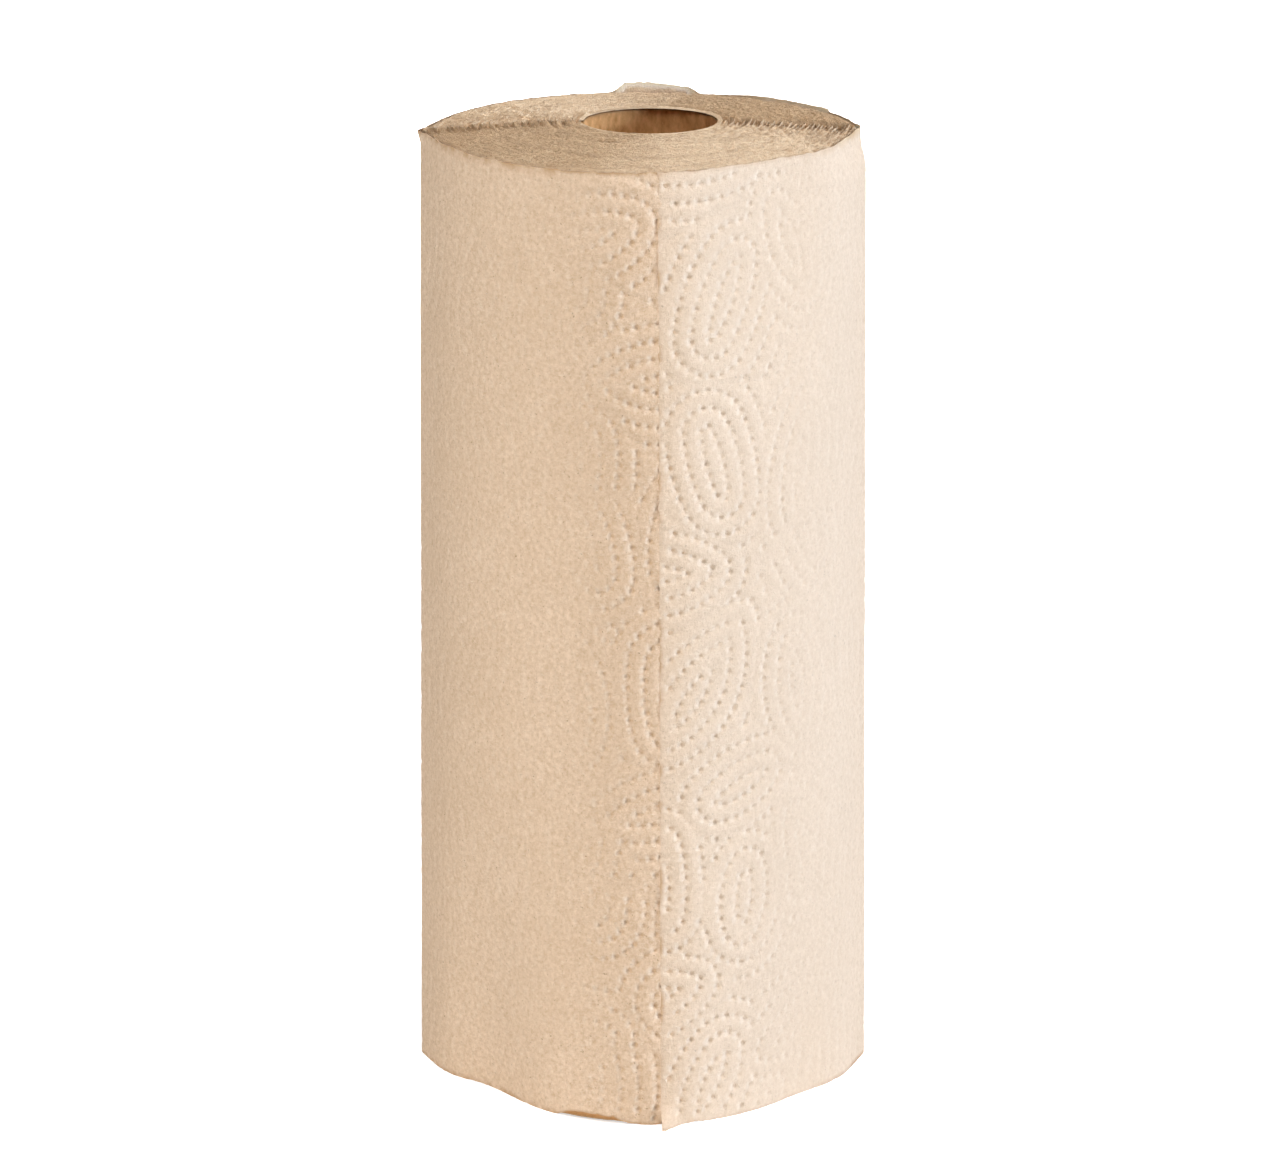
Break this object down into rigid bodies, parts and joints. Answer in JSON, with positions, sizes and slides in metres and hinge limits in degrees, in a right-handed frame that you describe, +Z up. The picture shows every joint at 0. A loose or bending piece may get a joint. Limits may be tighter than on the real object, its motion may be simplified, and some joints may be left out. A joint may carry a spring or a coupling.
{
  "type": "paper towel roll",
  "caption": "Roll of embossed kraft paper towels wound on a hollow cardboard tube, with creased sides and a free tail.",
  "frame": {"origin": "on the tube's axis, in the plane that the roll stands on", "axes": "+Z up along the tube, -Y the front with the free tail, +X to the right towards one crease"},
  "size_m": [0.1293, 0.1098, 0.2825],
  "materials": {
    "kraft_tissue": "soft unbleached tissue, creped and embossed",
    "core_board": "plain brown tube board"
  },
  "bodies": {
    "root": {"paper_web": "kraft_tissue", "cardboard_core": "core_board"}
  },
  "joints": []
}
